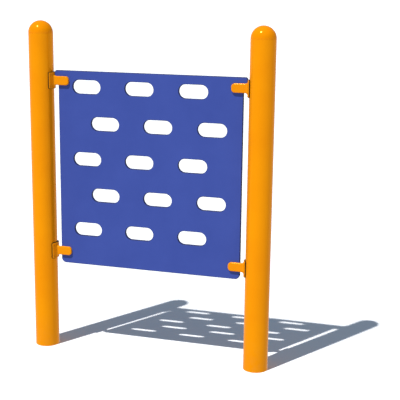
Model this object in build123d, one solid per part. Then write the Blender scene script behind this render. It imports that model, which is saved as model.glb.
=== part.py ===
from build123d import *
import os
from math import cos, degrees, hypot, radians, sin, sqrt

# A playground climbing wall: a slotted board held between two round posts by four cast brackets.
# Origin: on the ground midway between the posts. +X to the right, +Z up, the climbing side faces -Y.
# Everything fixed to a post is drawn about the left post's axis, then moved there or mirrored.

# Driving dimensions, in millimetres and degrees.
POST_SPACING = 1000.0  # post centre to post centre
POST_DIAMETER = 108.0
POST_WALL = 3.0
POST_RISE = 214.0  # crown of the post above the top of the board

BOARD_HEIGHT = 874.0
BOARD_THICKNESS = 15.0
BOARD_GROUND_GAP = 398.0
BOARD_SIDE_GAP = 26.0  # edge of the board to the post
BOARD_CORNER = 22.0  # bottom corners
BOARD_EDGE_ROUND = 3.0
EAR_GAP = 1.5  # top ears to the bracket flange
EAR_CORNER = 10.0
EAR_ROOT = 5.0

SLOT_LENGTH = 130.0
SLOT_WIDTH = 60.0
SLOT_ROWS = 5
SLOT_COLUMNS = 3
SLOT_SIDE_MARGIN = 68.0  # end of the outermost slot to the board's edge
SLOT_TOP_MARGIN = 69.0  # centre of the top row to the board's top
SLOT_BOTTOM_MARGIN = 165.0  # centre of the bottom row to the board's bottom
ROW_STAGGER = 85.5  # shift between one row and the next

BRACKET_TOP_MARGIN = 45.0  # bracket centre to the board's top
BRACKET_BOTTOM_MARGIN = 57.0  # bracket centre to the board's bottom
FLANGE_HEIGHT = 70.0
FLANGE_HALF_ANGLE = 32.0
FLANGE_THICKNESS = 3.5
FLANGE_CORNER = 4.0
FLANGE_EDGE_ROUND = 1.2
TAB_HEIGHT = 39.0
TAB_THICKNESS = 10.0
TAB_LAP = 51.5  # length of tab over the board
TAB_TIP_CORNER = 15.0
TAB_EDGE_ROUND = 3.5
ROOT_BLEND = 11.0  # sweeps the tab out into the flange

PAD_THICKNESS = 4.0
PAD_BORDER = 1.75  # pad shows all round the flange by this much

SEAM_CHAMFER = 0.6  # where the cap meets the tube
CAP_WALL = 4.0
CAP_SPIGOT_DEPTH = 35.0
CAP_SPIGOT_LAP = 8.0  # spigot runs up inside the dome
CAP_RIB_COUNT = 8
CAP_RIB_WIDTH = 2.0
CAP_RIB_LENGTH = 28.0

SOCKET_LENGTH = 200.0
SOCKET_WALL = 6.25  # leaves a bore that slips over a ground stub 88.9 across
SOCKET_LIP_HEIGHT = 6.0  # stop at the top of the socket
SOCKET_LIP_INSET = 4.7
SET_SCREW_DIAMETER = 10.0
SET_SCREW_HEIGHTS = (60.0, 140.0)
SET_SCREW_INSET = 0.4  # from the post's surface and from the stub
SET_SCREW_KEY = 5.0
SET_SCREW_KEY_DEPTH = 4.0

FLANGE_SCREW_DIAMETER = 6.0
FLANGE_SCREW_HEAD = 11.0
FLANGE_SCREW_SIDE_MARGIN = 8.0  # degrees in from the flange's sides
FLANGE_SCREW_END_MARGIN = 10.5  # in from the flange's top and bottom
FLANGE_SCREW_INSET = 0.4  # head below the flange's outer face
FLANGE_SCREW_REACH = 14.0  # length beyond the flange, into the nut
FLANGE_SCREW_KEY = 4.0
FLANGE_SCREW_KEY_DEPTH = 2.2

NUT_BODY_DIAMETER = 9.0
NUT_BODY_LENGTH = 12.0
NUT_HEAD_DIAMETER = 13.0
NUT_HEAD_THICKNESS = 1.0
NUT_BULGE_DIAMETER = 12.0
NUT_BULGE_LENGTH = 4.0

BOLT_DIAMETER = 8.0
BOLT_HEAD = 14.0
BOLT_HEAD_HEIGHT = 4.4
BOLT_CROWN = 2.5  # rounding of the head
BOLT_KEY = 5.0
BOLT_KEY_DEPTH = 2.6
BOLT_END_GAP = 0.5  # to the bottom of the blind thread
WASHER_DIAMETER = 24.0
WASHER_THICKNESS = 2.0
TAB_SKIN = 2.5  # tab left in front of the blind thread

# Clearances, all radial.
HOLE_CLEARANCE = 0.5  # round a screw or a nut
BOARD_HOLE_CLEARANCE = 1.0  # leaves the board free to expand
THREAD_CLEARANCE = 0.05  # threads are plain cylinders
SEAT_CLEARANCE = 0.05  # between curved faces that seat on each other
CAP_CLEARANCE = 0.3

# Places worked out from the driving dimensions.
POST_RADIUS = POST_DIAMETER / 2
BORE_RADIUS = POST_RADIUS - POST_WALL
POST_X = POST_SPACING / 2
BOARD_TOP = BOARD_GROUND_GAP + BOARD_HEIGHT
TUBE_HEIGHT = BOARD_TOP + POST_RISE - POST_RADIUS
BOARD_HALF_WIDTH = POST_X - POST_RADIUS - BOARD_SIDE_GAP
FLANGE_INNER = POST_RADIUS + PAD_THICKNESS
FLANGE_OUTER = FLANGE_INNER + FLANGE_THICKNESS
FLANGE_SCREW_ANGLE = FLANGE_HALF_ANGLE - FLANGE_SCREW_SIDE_MARGIN
FLANGE_SCREW_RISE = FLANGE_HEIGHT / 2 - FLANGE_SCREW_END_MARGIN
SOCKET_RADIUS = BORE_RADIUS - SEAT_CLEARANCE
STUB_BORE_RADIUS = SOCKET_RADIUS - SOCKET_WALL
EAR_HALF_WIDTH = POST_X - FLANGE_OUTER - EAR_GAP
TAB_TIP = POST_X - BOARD_HALF_WIDTH + TAB_LAP  # from the post's axis
BOLT_REACH = TAB_TIP - TAB_LAP / 2  # from the post's axis
THREAD_DEPTH = TAB_THICKNESS - TAB_SKIN
BRACKET_HEIGHTS = {
    "top": BOARD_TOP - BRACKET_TOP_MARGIN,
    "bottom": BOARD_GROUND_GAP + BRACKET_BOTTOM_MARGIN,
}
UP = (Align.CENTER, Align.CENTER, Align.MIN)
DOWN = (Align.CENTER, Align.CENTER, Align.MAX)
TOLERANCE = 0.02  # for picking edges by where they lie


def on_post(angle, distance, height):
    """A place about a post's axis, whose own +Z axis points straight out from the post."""
    return Pos(0, 0, height) * Rot(0, 0, angle) * Pos(distance, 0, 0) * Rot(0, 90, 0)


def behind(distance, y):
    """A place on the line of a board bolt, whose own +Z axis points to the back, along +Y."""
    return Pos(distance, y, 0) * Rot(-90, 0, 0)


def flange_screw_places(distance, centre=0.0):
    return [
        on_post(angle, distance, centre + rise)
        for angle in (-FLANGE_SCREW_ANGLE, FLANGE_SCREW_ANGLE)
        for rise in (-FLANGE_SCREW_RISE, FLANGE_SCREW_RISE)
    ]


def set_screw_places(distance):
    """On the back of the post, which faces +Y."""
    return [on_post(90, distance, height) for height in SET_SCREW_HEIGHTS]


def key_recess(across_flats, depth):
    hexagon = RegularPolygon(across_flats / 2, 6, major_radius=False)
    return extrude(hexagon, amount=-depth)


# Posts.


def post_tube():
    tube = Cylinder(POST_RADIUS, TUBE_HEIGHT, align=UP)
    tube = chamfer(tube.edges().group_by(Axis.Z)[-1], SEAM_CHAMFER)
    tube -= Cylinder(BORE_RADIUS, TUBE_HEIGHT, align=UP)
    cut_length = 3 * POST_WALL
    nut_hole = Cylinder(NUT_BODY_DIAMETER / 2 + THREAD_CLEARANCE, cut_length)
    for height in BRACKET_HEIGHTS.values():
        for place in flange_screw_places(POST_RADIUS, height):
            tube -= place * nut_hole
    screw_hole = Cylinder(SET_SCREW_DIAMETER / 2 + HOLE_CLEARANCE, cut_length)
    for place in set_screw_places(POST_RADIUS):
        tube -= place * screw_hole
    return tube


def post_cap():
    """A hollow dome with a ribbed spigot that is driven into the top of the tube."""
    cap = Sphere(POST_RADIUS, arc_size1=0, align=UP)
    cap = chamfer(cap.edges().group_by(Axis.Z)[0], SEAM_CHAMFER)
    cap -= Sphere(POST_RADIUS - CAP_WALL, arc_size1=0, align=UP)
    spigot_radius = BORE_RADIUS - CAP_CLEARANCE
    spigot_length = CAP_SPIGOT_DEPTH + CAP_SPIGOT_LAP
    spigot = Cylinder(spigot_radius, spigot_length, align=UP)
    spigot -= Cylinder(spigot_radius - CAP_WALL, spigot_length, align=UP)
    cap += Pos(0, 0, -CAP_SPIGOT_DEPTH) * spigot
    rib_align = (Align.MAX, Align.CENTER, Align.MAX)
    rib = Box(CAP_WALL, CAP_RIB_WIDTH, CAP_RIB_LENGTH, align=rib_align)
    rib = Pos(BORE_RADIUS - SEAT_CLEARANCE, 0, 0) * rib
    for turn in range(CAP_RIB_COUNT):
        cap += Rot(0, 0, turn * 360 / CAP_RIB_COUNT) * rib
    return Pos(0, 0, TUBE_HEIGHT) * cap


def foot_socket():
    """A sleeve inside the foot of the tube, which slips over a stub set in the ground."""
    socket = Cylinder(SOCKET_RADIUS, SOCKET_LENGTH, align=UP)
    socket -= Cylinder(STUB_BORE_RADIUS, SOCKET_LENGTH - SOCKET_LIP_HEIGHT, align=UP)
    socket -= Cylinder(STUB_BORE_RADIUS - SOCKET_LIP_INSET, SOCKET_LENGTH, align=UP)
    thread = Cylinder(SET_SCREW_DIAMETER / 2 + THREAD_CLEARANCE, 4 * SOCKET_WALL)
    for place in set_screw_places(SOCKET_RADIUS):
        socket -= place * thread
    return socket


def socket_screws():
    """Flat-ended screws through the back of the foot, which lock it to the ground stub."""
    head = POST_RADIUS - SET_SCREW_INSET
    length = head - STUB_BORE_RADIUS - SET_SCREW_INSET
    screw = Cylinder(SET_SCREW_DIAMETER / 2, length, align=DOWN)
    screw = chamfer(screw.edges().group_by(Axis.Z)[0], SET_SCREW_INSET)
    screw -= key_recess(SET_SCREW_KEY, SET_SCREW_KEY_DEPTH)
    return [place * screw for place in set_screw_places(head)]


# Climbing board. Its outline is drawn in x and z, then stood up with its climbing face at y = 0.


def slot_centres():
    """The rows are staggered, and every second row mirrors the first."""
    outermost = BOARD_HALF_WIDTH - SLOT_SIDE_MARGIN - SLOT_LENGTH / 2
    pitch = (2 * outermost - ROW_STAGGER) / (SLOT_COLUMNS - 1)
    drop = (BOARD_HEIGHT - SLOT_TOP_MARGIN - SLOT_BOTTOM_MARGIN) / (SLOT_ROWS - 1)
    centres = []
    for row in range(SLOT_ROWS):
        first = -outermost + ROW_STAGGER * (row % 2)
        height = BOARD_TOP - SLOT_TOP_MARGIN - row * drop
        centres += [(first + column * pitch, height) for column in range(SLOT_COLUMNS)]
    return centres


def board_outline():
    """Square at the top, with an ear on each side that reaches over behind the top bracket's root."""
    body = Pos(0, BOARD_GROUND_GAP + BOARD_HEIGHT / 2) * Rectangle(2 * BOARD_HALF_WIDTH, BOARD_HEIGHT)
    body = fillet(body.vertices().group_by(Axis.Y)[0], BOARD_CORNER)
    ears = Pos(0, BOARD_TOP - BRACKET_TOP_MARGIN / 2) * Rectangle(2 * EAR_HALF_WIDTH, BRACKET_TOP_MARGIN)
    ears = fillet(ears.vertices().group_by(Axis.Y)[-1], EAR_CORNER)
    ears = fillet(ears.vertices().group_by(Axis.Y)[0], EAR_ROOT)
    return body + ears


def climbing_board():
    outline = board_outline()
    for x, z in slot_centres():
        outline -= Pos(x, z) * SlotOverall(SLOT_LENGTH, SLOT_WIDTH)
    board = extrude(outline, amount=BOARD_THICKNESS)
    board = fillet(board.edges().filter_by(Plane.XY), BOARD_EDGE_ROUND)
    bolt_hole = Cylinder(BOLT_DIAMETER / 2 + BOARD_HOLE_CLEARANCE, BOARD_THICKNESS, align=UP)
    bolt_x = POST_X - BOLT_REACH
    for height in BRACKET_HEIGHTS.values():
        for x in (-bolt_x, bolt_x):
            board -= Pos(x, height, 0) * bolt_hole
    return Pos(0, BOARD_THICKNESS, 0) * Rot(90, 0, 0) * board


# Brackets and what fastens them, drawn with the bracket's centre at z = 0.


def arc_point(radius, angle):
    return radius * cos(radians(angle)), radius * sin(radians(angle))


def saddle(inner, outer, half_angle, height, corner):
    """A curved plate round a post, facing +X, with rounded corners."""
    low = arc_point(2 * outer, -half_angle)
    high = arc_point(2 * outer, half_angle)
    wedge = Polygon((0, 0), low, high, align=None)
    plate = extrude((Circle(outer) - Circle(inner)) & wedge, amount=height / 2, both=True)
    corners = plate.edges().filter_by(lambda e: abs(e.length - (outer - inner)) < TOLERANCE)
    return fillet(corners, corner)


def flange_screw_cutter():
    """The hole for one flange screw, with z = 0 at the top of the screw's head."""
    head_height = (FLANGE_SCREW_HEAD - FLANGE_SCREW_DIAMETER) / 2
    hole = Cylinder(FLANGE_SCREW_DIAMETER / 2 + HOLE_CLEARANCE, 2 * FLANGE_THICKNESS, align=DOWN)
    hole += Cone(FLANGE_SCREW_DIAMETER / 2, FLANGE_SCREW_HEAD / 2, head_height, align=DOWN)
    hole += Cylinder(FLANGE_SCREW_HEAD / 2, FLANGE_THICKNESS, align=UP)
    return hole


def tab():
    """A flat tab with a rounded tip, from inside the flange out over the board."""
    start = FLANGE_OUTER - FLANGE_THICKNESS / 2
    outline = Rectangle(TAB_TIP - start, TAB_HEIGHT, align=(Align.MIN, Align.CENTER))
    outline = fillet(outline.vertices().group_by(Axis.X)[-1], TAB_TIP_CORNER)
    flat = Pos(start, 0, 0) * Rot(90, 0, 0) * extrude(outline, amount=TAB_THICKNESS)
    front_rim = flat.faces().sort_by(Axis.Y)[0].edges().filter_by(lambda e: e.center().X > FLANGE_OUTER)
    return fillet(front_rim, TAB_EDGE_ROUND)


def is_root_edge(edge):
    """True where the tab meets the flange's outer face, except along the tab's back."""
    points = (edge @ 0, edge @ 0.5, edge @ 1)
    on_face = all(abs(hypot(point.X, point.Y) - FLANGE_OUTER) < TOLERANCE for point in points)
    centre = edge.center()
    beside_tab = abs(centre.Z) < TAB_HEIGHT / 2 + TOLERANCE
    before_back = -TAB_THICKNESS - TOLERANCE < centre.Y < -TOLERANCE
    return on_face and beside_tab and before_back


def bracket():
    """A cast saddle flange, swept out into a flat tab that laps over the front of the board."""
    flange = saddle(
        FLANGE_INNER + SEAT_CLEARANCE, FLANGE_OUTER, FLANGE_HALF_ANGLE, FLANGE_HEIGHT, FLANGE_CORNER
    )
    outer_face = flange.faces().filter_by(GeomType.CYLINDER).sort_by(lambda f: f.area)[-1]
    cast = fillet(outer_face.edges(), FLANGE_EDGE_ROUND) + tab()
    cast = fillet(cast.edges().filter_by(is_root_edge), ROOT_BLEND)
    thread = Cylinder(BOLT_DIAMETER / 2 + THREAD_CLEARANCE, THREAD_DEPTH, align=UP)
    cast -= behind(BOLT_REACH, -THREAD_DEPTH) * thread
    for place in flange_screw_places(FLANGE_OUTER - FLANGE_SCREW_INSET):
        cast -= place * flange_screw_cutter()
    return cast


def bracket_pad():
    """A rubber pad between the flange and the post, with room for the heads of the nuts."""
    border_angle = degrees(PAD_BORDER / FLANGE_INNER)
    pad = saddle(
        POST_RADIUS + SEAT_CLEARANCE,
        FLANGE_INNER,
        FLANGE_HALF_ANGLE + border_angle,
        FLANGE_HEIGHT + 2 * PAD_BORDER,
        FLANGE_CORNER + PAD_BORDER,
    )
    nut_room = Cylinder(NUT_HEAD_DIAMETER / 2 + HOLE_CLEARANCE, 3 * PAD_THICKNESS)
    for place in flange_screw_places(FLANGE_INNER):
        pad -= place * nut_room
    return pad


def flange_screws():
    """Countersunk screws that hold the flange to the post."""
    head_height = (FLANGE_SCREW_HEAD - FLANGE_SCREW_DIAMETER) / 2
    length = FLANGE_THICKNESS - FLANGE_SCREW_INSET + FLANGE_SCREW_REACH
    screw = Cylinder(FLANGE_SCREW_DIAMETER / 2, length, align=DOWN)
    screw += Cone(FLANGE_SCREW_DIAMETER / 2, FLANGE_SCREW_HEAD / 2, head_height, align=DOWN)
    screw -= key_recess(FLANGE_SCREW_KEY, FLANGE_SCREW_KEY_DEPTH)
    return [place * screw for place in flange_screw_places(FLANGE_OUTER - FLANGE_SCREW_INSET)]


def rivet_nuts():
    """Threaded inserts set in the post's wall, each swelled out behind it."""
    bulge_radius = NUT_BULGE_DIAMETER / 2
    bulge_drop = POST_RADIUS - sqrt(BORE_RADIUS**2 - bulge_radius**2) + SEAT_CLEARANCE
    nut = Cylinder(NUT_BODY_DIAMETER / 2, NUT_BODY_LENGTH, align=DOWN)
    nut += Cylinder(NUT_HEAD_DIAMETER / 2, NUT_HEAD_THICKNESS, align=UP)
    nut += Pos(0, 0, -bulge_drop) * Cylinder(bulge_radius, NUT_BULGE_LENGTH, align=DOWN)
    nut -= Cylinder(FLANGE_SCREW_DIAMETER / 2 + THREAD_CLEARANCE, 4 * NUT_BODY_LENGTH)
    return [place * nut for place in flange_screw_places(POST_RADIUS)]


def board_washer():
    washer = Cylinder(WASHER_DIAMETER / 2, WASHER_THICKNESS, align=UP)
    washer -= Cylinder(BOLT_DIAMETER / 2 + HOLE_CLEARANCE, WASHER_THICKNESS, align=UP)
    return behind(BOLT_REACH, BOARD_THICKNESS) * washer


def board_bolt():
    """A button-head bolt from the back, through the board into the tab's blind thread."""
    head = Cylinder(BOLT_HEAD / 2, BOLT_HEAD_HEIGHT, align=UP)
    head = fillet(head.edges().group_by(Axis.Z)[-1], BOLT_CROWN)
    head -= Pos(0, 0, BOLT_HEAD_HEIGHT) * key_recess(BOLT_KEY, BOLT_KEY_DEPTH)
    shank_length = WASHER_THICKNESS + BOARD_THICKNESS + THREAD_DEPTH - BOLT_END_GAP
    bolt = head + Cylinder(BOLT_DIAMETER / 2, shank_length, align=DOWN)
    return behind(BOLT_REACH, BOARD_THICKNESS + WASHER_THICKNESS) * bolt


# Assembly.


def write(node, shapes):
    solids = [solid for shape in shapes for solid in shape.solids()]
    export_step(solids[0] if len(solids) == 1 else Compound(solids), f"parts/{node}.step")


def on_both_posts(name, shapes):
    """Write a piece of the left post, and its mirror image on the right post."""
    left = [Pos(-POST_X, 0, 0) * shape for shape in shapes]
    write(f"left_{name}", left)
    write(f"right_{name}", [mirror(shape, about=Plane.YZ) for shape in left])


def at_each_bracket(name, shapes):
    for level, height in BRACKET_HEIGHTS.items():
        on_both_posts(f"{level}_{name}", [Pos(0, 0, height) * shape for shape in shapes])


def main():
    os.makedirs("parts", exist_ok=True)
    on_both_posts("post_tube", [post_tube()])
    on_both_posts("post_cap", [post_cap()])
    on_both_posts("foot_socket", [foot_socket()])
    on_both_posts("socket_screws", socket_screws())
    write("climbing_board", [climbing_board()])
    at_each_bracket("bracket", [bracket()])
    at_each_bracket("bracket_pad", [bracket_pad()])
    at_each_bracket("flange_screws", flange_screws())
    at_each_bracket("rivet_nuts", rivet_nuts())
    at_each_bracket("board_washer", [board_washer()])
    at_each_bracket("board_bolt", [board_bolt()])


main()
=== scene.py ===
"""Looks for the playground climbing wall: materials, light, floor and camera. Metres throughout."""
from math import cos, radians, sin

import bpy
from mathutils import Matrix, Vector

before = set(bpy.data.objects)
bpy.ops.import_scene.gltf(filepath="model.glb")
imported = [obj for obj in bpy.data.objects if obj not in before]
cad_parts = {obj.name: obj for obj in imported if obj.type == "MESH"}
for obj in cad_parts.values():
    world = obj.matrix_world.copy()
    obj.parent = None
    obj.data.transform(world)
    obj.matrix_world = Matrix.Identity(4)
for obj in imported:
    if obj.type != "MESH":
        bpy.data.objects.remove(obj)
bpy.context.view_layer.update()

# Camera, at the photographed viewing angle.
CAMERA_PLACE = (1.4048, -3.8749, 1.6311)
CAMERA_YAW = 16.77  # degrees, turned to the left
CAMERA_PITCH = -12.44
CAMERA_ROLL = 0.70
CAMERA_LENS = 86.48  # millimetres
CAMERA_SENSOR = 36.0  # millimetres

# Light.
SUN_DIRECTION = (0.239, 0.444, -0.863)  # the way the light travels
SUN_STRENGTH = 3.95
SUN_ANGLE = 0.8  # degrees across
SKY_COLOUR = (0.155, 0.214, 0.289)  # overhead
NEAR_GLOW = (0.74, 0.74, 0.74)  # at and below the horizon, in place of the floor's bounce
FAR_GLOW = (0.90, 0.90, 0.90)
FAR_SIDE = (0.87, 0.50, 0.0)  # the way from the near glow to the far one
GLOW_TOP = (0.05, 0.30)  # the glow fades out over these heights on the unit sphere
BACKDROP_WHITE = (1.0, 1.0, 1.0)  # what the camera itself sees above the floor
FLOOR_SIZE = 400.0
FLOOR_COLOUR = (0.95, 0.95, 0.95)

# Colours, linear.
POST_ORANGE = (0.96, 0.327, 0.001)
POST_ORANGE_DEEP = (0.93, 0.300, 0.001)
CAP_ORANGE = (0.90, 0.285, 0.001)
CAP_ORANGE_DEEP = (0.87, 0.262, 0.001)
CASTING_ORANGE = (0.90, 0.305, 0.002)
CASTING_ORANGE_DEEP = (0.86, 0.280, 0.002)
EDGE_ORANGE = (0.92, 0.38, 0.03)
DUST = (0.46, 0.31, 0.16)
BOARD_BLUE = (0.050, 0.084, 0.358)
BOARD_BLUE_DEEP = (0.043, 0.074, 0.329)
# Dark navy for the board's cut edges: painted shade.
BOARD_EDGE_SHADE_BLUE = (0.020, 0.027, 0.10)
FLECK_BLUE = (0.10, 0.14, 0.46)
SCUFF_BLUE = (0.16, 0.20, 0.46)
RUBBER_BLACK = (0.010, 0.007, 0.005)
RUBBER_GREY = (0.018, 0.014, 0.011)
STAINLESS = (0.60, 0.60, 0.59)
STAINLESS_DARK = (0.50, 0.50, 0.50)
ZINC = (0.56, 0.57, 0.58)
ZINC_DARK = (0.44, 0.45, 0.47)
SOCKET_BLOOM = (0.62, 0.63, 0.64)
NUT_BLOOM = (0.62, 0.56, 0.38)

# Paint.
PEEL_DEPTH = 0.000012  # orange peel on the posts
CASTING_PEEL_DEPTH = 0.00002
POST_FLAKE = 0.16  # share of metallic flake
CAP_FLAKE = 0.08
CASTING_FLAKE = 0.05
DUST_HEIGHT = 0.16  # splashed this far up from the ground
WORN_AND_HIGHLIGHT_EDGE = 0.0012  # width of the paler line along an edge, partly wear and partly a painted highlight

# Sockets of a Mix node that mixes colours.
MIX_A = 6
MIX_B = 7
MIX_RESULT = 2


# Shader helpers. Every texture is placed by the object's own coordinates, in the shared frame.


class Shader:
    """A Principled material that is built up by named steps."""

    def __init__(self, name, roughness, metallic=0.0, specular=0.5):
        self.material = bpy.data.materials.new(name)
        self.material.use_nodes = True
        self.tree = self.material.node_tree
        self.bsdf = self.tree.nodes["Principled BSDF"]
        self.place = self.node("ShaderNodeTexCoord").outputs["Object"]
        self.bsdf.inputs["Roughness"].default_value = roughness
        self.bsdf.inputs["Metallic"].default_value = metallic
        self.bsdf.inputs["Specular IOR Level"].default_value = specular

    def node(self, kind, **inputs):
        made = self.tree.nodes.new(kind)
        for name, value in inputs.items():
            self.feed(made.inputs[name.replace("_", " ")], value)
        return made

    def feed(self, socket, value):
        if isinstance(value, bpy.types.NodeSocket):
            self.tree.links.new(value, socket)
        elif isinstance(value, tuple) and len(value) == 3 and socket.type == "RGBA":
            socket.default_value = (*value, 1.0)
        else:
            socket.default_value = value

    def noise(self, scale, detail=2.0, roughness=0.5, stretch=(1.0, 1.0, 1.0)):
        """Smooth noise from 0 to 1, with about this many features along a metre."""
        place = self.place
        if stretch != (1.0, 1.0, 1.0):
            place = self.node("ShaderNodeMapping", Vector=self.place, Scale=stretch).outputs["Vector"]
        made = self.node("ShaderNodeTexNoise", Vector=place, Scale=scale, Detail=detail, Roughness=roughness)
        return made.outputs["Fac"]

    def cells(self, scale):
        """How far from the middle of the nearest cell, with about this many cells along a metre."""
        made = self.node("ShaderNodeTexVoronoi", Vector=self.place, Scale=scale)
        return made.outputs["Distance"]

    def ramp(self, value, low, high, to_low=0.0, to_high=1.0):
        """The value carried from the span low to high onto the span to_low to to_high."""
        made = self.node("ShaderNodeMapRange", Value=value)
        made.inputs["From Min"].default_value = low
        made.inputs["From Max"].default_value = high
        made.inputs["To Min"].default_value = to_low
        made.inputs["To Max"].default_value = to_high
        return made.outputs["Result"]

    def multiply(self, a, b):
        made = self.tree.nodes.new("ShaderNodeMath")
        made.operation = "MULTIPLY"
        self.feed(made.inputs[0], a)
        self.feed(made.inputs[1], b)
        return made.outputs["Value"]

    def mix(self, factor, a, b):
        made = self.tree.nodes.new("ShaderNodeMix")
        made.data_type = "RGBA"
        self.feed(made.inputs["Factor"], factor)
        self.feed(made.inputs[MIX_A], a)
        self.feed(made.inputs[MIX_B], b)
        return made.outputs[MIX_RESULT]

    def height(self):
        """How high above the ground, in metres."""
        return self.node("ShaderNodeSeparateXYZ", Vector=self.place).outputs["Z"]

    def side_mask(self):
        """1 on faces cut through the board's thickness, 0 on its two broad faces."""
        normal = self.node("ShaderNodeNewGeometry").outputs["Normal"]
        across = self.node("ShaderNodeSeparateXYZ", Vector=normal).outputs["Y"]
        made = self.tree.nodes.new("ShaderNodeMath")
        made.operation = "ABSOLUTE"
        self.feed(made.inputs[0], across)
        return self.ramp(made.outputs["Value"], 0.995, 0.90)

    def edge_mask(self, radius, low=0.015, high=0.12):
        """1 on sharp outer and inner edges, fading to 0 within the radius."""
        normal = self.node("ShaderNodeNewGeometry").outputs["Normal"]
        soft = self.tree.nodes.new("ShaderNodeBevel")
        soft.samples = 4
        soft.inputs["Radius"].default_value = radius
        dot = self.tree.nodes.new("ShaderNodeVectorMath")
        dot.operation = "DOT_PRODUCT"
        self.feed(dot.inputs[0], normal)
        self.feed(dot.inputs[1], soft.outputs["Normal"])
        return self.ramp(dot.outputs["Value"], 1.0 - low, 1.0 - high)

    def bump(self, *layers):
        """Layers of (height, depth in metres), from the finest to the broadest."""
        normal = None
        for value, depth in layers:
            made = self.node("ShaderNodeBump", Height=value, Strength=1.0, Distance=depth)
            if normal is not None:
                self.feed(made.inputs["Normal"], normal)
            normal = made.outputs["Normal"]
        self.feed(self.bsdf.inputs["Normal"], normal)

    def set(self, socket, value):
        self.feed(self.bsdf.inputs[socket], value)


def powder_coat(name, colour, deep_colour, peel_depth, flake):
    """Semi-gloss orange powder coat: orange peel, a little dust near the ground, paler edges that are partly
    wear and partly a painted highlight.
    """
    s = Shader(name, roughness=0.2, metallic=flake, specular=0.05)
    cloud = s.ramp(s.noise(7.0, detail=4.0), 0.35, 0.65)
    colour_here = s.mix(cloud, colour, deep_colour)
    speckle = s.ramp(s.noise(900.0, detail=1.0), 0.62, 0.8, 0.0, 0.10)
    colour_here = s.mix(speckle, colour_here, EDGE_ORANGE)
    patches = s.ramp(s.noise(45.0, detail=5.0, roughness=0.65), 0.42, 0.75)
    splash = s.multiply(s.ramp(s.height(), DUST_HEIGHT, 0.0), patches)
    colour_here = s.mix(s.multiply(splash, 0.08), colour_here, DUST)
    # Paler line along every edge: partly wear, partly a painted highlight on the rounded edges.
    colour_here = s.mix(s.multiply(s.edge_mask(WORN_AND_HIGHLIGHT_EDGE), 0.35), colour_here, EDGE_ORANGE)
    s.set("Base Color", colour_here)
    handling = s.ramp(s.noise(16.0, detail=5.0, roughness=0.6), 0.3, 0.7, 0.13, 0.20)
    s.set("Roughness", handling)
    s.bump((s.noise(420.0, detail=2.0), peel_depth), (s.noise(140.0, detail=1.0), 2 * peel_depth))
    return s.material


def board_plastic():
    """Solid-coloured polyethylene sheet: a fine pebbled grain on its faces, router marks on its cut edges,
    which are also coloured a darker navy as painted shade.
    """
    s = Shader("board_plastic", roughness=0.45, specular=0.13)
    cloud = s.ramp(s.noise(5.0, detail=5.0, roughness=0.6), 0.32, 0.68)
    colour = s.mix(cloud, BOARD_BLUE, BOARD_BLUE_DEEP)
    fleck = s.ramp(s.noise(1400.0, detail=1.0), 0.6, 0.85, 0.0, 0.18)
    colour = s.mix(fleck, colour, FLECK_BLUE)
    scratches = s.noise(60.0, detail=6.0, roughness=0.7, stretch=(1.0, 1.0, 5.0))
    colour = s.mix(s.ramp(scratches, 0.64, 0.8, 0.0, 0.16), colour, SCUFF_BLUE)
    # The cut edges and slot rims are coloured dark navy: painted shade.
    sides = s.side_mask()
    colour = s.mix(sides, colour, BOARD_EDGE_SHADE_BLUE)
    s.set("Base Color", colour)
    s.set("Roughness", s.ramp(s.noise(22.0, detail=5.0, roughness=0.6), 0.3, 0.7, 0.40, 0.55))
    router = s.noise(900.0, detail=1.0, stretch=(0.02, 1.0, 0.02))
    pebble = s.cells(620.0)
    s.bump((pebble, 0.00020), (s.multiply(router, sides), 0.00015), (s.noise(3.0), 0.0006))
    return s.material


def pad_rubber():
    """Matte black rubber with a greyish bloom."""
    s = Shader("pad_rubber", roughness=0.75, specular=0.1)
    s.set("Base Color", s.mix(s.ramp(s.noise(260.0, detail=4.0), 0.35, 0.7), RUBBER_BLACK, RUBBER_GREY))
    s.set("Roughness", s.ramp(s.noise(90.0, detail=3.0), 0.3, 0.7, 0.62, 0.85))
    s.bump((s.noise(1500.0, detail=2.0), 0.00005))
    return s.material


def stainless(name):
    """Turned stainless steel with fine scratches and duller patches."""
    s = Shader(name, roughness=0.3, metallic=1.0)
    scratches = s.noise(2400.0, detail=2.0, stretch=(1.0, 0.06, 1.0))
    s.set("Base Color", s.mix(s.ramp(scratches, 0.35, 0.7), STAINLESS, STAINLESS_DARK))
    s.set("Roughness", s.ramp(s.noise(500.0, detail=3.0), 0.3, 0.7, 0.22, 0.42))
    s.bump((scratches, 0.00002))
    return s.material


def zinc_plate(name, bloom_colour):
    """Zinc plating, with its spangle and a cloudy bloom."""
    s = Shader(name, roughness=0.4, metallic=1.0)
    spangle = s.ramp(s.cells(160.0), 0.1, 0.8)
    bloom = s.ramp(s.noise(30.0, detail=5.0, roughness=0.7), 0.35, 0.7)
    colour = s.mix(spangle, ZINC, ZINC_DARK)
    s.set("Base Color", s.mix(s.multiply(bloom, 0.5), colour, bloom_colour))
    s.set("Roughness", s.ramp(bloom, 0.0, 1.0, 0.32, 0.55))
    s.bump((s.noise(700.0, detail=2.0), 0.00003))
    return s.material


def dress(materials):
    """Give every CAD node the material for the last words of its name."""
    for name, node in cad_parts.items():
        ending = next(ending for ending in materials if name.endswith(ending))
        node.data.materials.clear()
        node.data.materials.append(materials[ending])


def make_floor():
    """A plain pale floor that takes shadows and doesn't light or reflect in the object."""
    bpy.ops.mesh.primitive_plane_add(size=FLOOR_SIZE)
    floor = bpy.context.object
    floor.name = "floor"
    material = bpy.data.materials.new("floor")
    material.use_nodes = True
    tree = material.node_tree
    tree.nodes.remove(tree.nodes["Principled BSDF"])
    diffuse = tree.nodes.new("ShaderNodeBsdfDiffuse")
    diffuse.inputs["Color"].default_value = (*FLOOR_COLOUR, 1.0)
    tree.links.new(diffuse.outputs["BSDF"], tree.nodes["Material Output"].inputs["Surface"])
    floor.data.materials.append(material)
    floor.visible_diffuse = False
    floor.visible_glossy = False
    floor.visible_shadow = False


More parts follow.
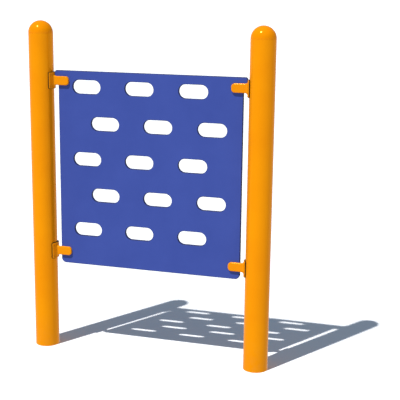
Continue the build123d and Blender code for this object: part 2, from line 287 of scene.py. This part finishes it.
def blend_over(tree, value, span, start, end):
    """A colour that goes from start to end as the value crosses the span. Start may be a socket."""
    fade = tree.nodes.new("ShaderNodeMapRange")
    fade.interpolation_type = "SMOOTHSTEP"
    fade.inputs["From Min"].default_value = span[0]
    fade.inputs["From Max"].default_value = span[1]
    tree.links.new(value, fade.inputs["Value"])
    blend = tree.nodes.new("ShaderNodeMix")
    blend.data_type = "RGBA"
    tree.links.new(fade.outputs["Result"], blend.inputs["Factor"])
    if isinstance(start, tuple):
        blend.inputs[MIX_A].default_value = (*start, 1.0)
    else:
        tree.links.new(start, blend.inputs[MIX_A])
    blend.inputs[MIX_B].default_value = (*end, 1.0)
    return blend.outputs[MIX_RESULT]


def make_sky():
    """A pale glow round and below the horizon, stronger on the far right, under a dim blue sky."""
    world = bpy.data.worlds.new("sky")
    world.use_nodes = True
    tree = world.node_tree
    direction = tree.nodes.new("ShaderNodeTexCoord").outputs["Generated"]
    split = tree.nodes.new("ShaderNodeSeparateXYZ")
    tree.links.new(direction, split.inputs["Vector"])
    side = tree.nodes.new("ShaderNodeVectorMath")
    side.operation = "DOT_PRODUCT"
    side.inputs[1].default_value = FAR_SIDE
    tree.links.new(direction, side.inputs[0])
    glow = blend_over(tree, side.outputs["Value"], (-1.0, 1.0), NEAR_GLOW, FAR_GLOW)
    sky = blend_over(tree, split.outputs["Z"], GLOW_TOP, glow, SKY_COLOUR)
    seen = tree.nodes.new("ShaderNodeLightPath").outputs["Is Camera Ray"]
    backdrop = blend_over(tree, seen, (0.0, 1.0), sky, BACKDROP_WHITE)
    tree.links.new(backdrop, tree.nodes["Background"].inputs["Color"])
    return world


def make_light():
    sun = bpy.data.objects.new("sun", bpy.data.lights.new("sun", "SUN"))
    sun.data.energy = SUN_STRENGTH
    sun.data.angle = radians(SUN_ANGLE)
    sun.rotation_euler = Vector(SUN_DIRECTION).to_track_quat("-Z", "Y").to_euler()
    bpy.context.scene.collection.objects.link(sun)
    bpy.context.scene.world = make_sky()
    bpy.context.scene.view_settings.view_transform = "Standard"


def make_camera():
    yaw, pitch, roll = radians(CAMERA_YAW), radians(CAMERA_PITCH), radians(CAMERA_ROLL)
    level = Vector((cos(yaw), sin(yaw), 0.0))
    forward = Vector((-sin(yaw) * cos(pitch), cos(yaw) * cos(pitch), sin(pitch)))
    upward = level.cross(forward)
    right = cos(roll) * level + sin(roll) * upward
    up = cos(roll) * upward - sin(roll) * level
    camera = bpy.data.objects.new("camera", bpy.data.cameras.new("camera"))
    camera.data.lens = CAMERA_LENS
    camera.data.sensor_width = CAMERA_SENSOR
    camera.data.clip_end = 2 * FLOOR_SIZE  # further than the floor's far corner
    turn = Matrix((right, up, -forward)).transposed().to_4x4()
    camera.matrix_world = Matrix.Translation(CAMERA_PLACE) @ turn
    bpy.context.scene.collection.objects.link(camera)
    bpy.context.scene.camera = camera


make_camera()
make_light()
make_floor()
post_paint = powder_coat("post_paint", POST_ORANGE, POST_ORANGE_DEEP, PEEL_DEPTH, POST_FLAKE)
cap_paint = powder_coat("cap_paint", CAP_ORANGE, CAP_ORANGE_DEEP, PEEL_DEPTH, CAP_FLAKE)
bracket_paint = powder_coat(
    "bracket_paint", CASTING_ORANGE, CASTING_ORANGE_DEEP, CASTING_PEEL_DEPTH, CASTING_FLAKE
)
dress(
    {
        "post_tube": post_paint,
        "post_cap": cap_paint,
        "foot_socket": zinc_plate("socket_zinc", SOCKET_BLOOM),
        "socket_screws": stainless("screw_steel"),
        "climbing_board": board_plastic(),
        "bracket_pad": pad_rubber(),
        "bracket": bracket_paint,
        "flange_screws": bracket_paint,
        "rivet_nuts": zinc_plate("nut_zinc", NUT_BLOOM),
        "board_washer": stainless("washer_steel"),
        "board_bolt": stainless("bolt_steel"),
    }
)
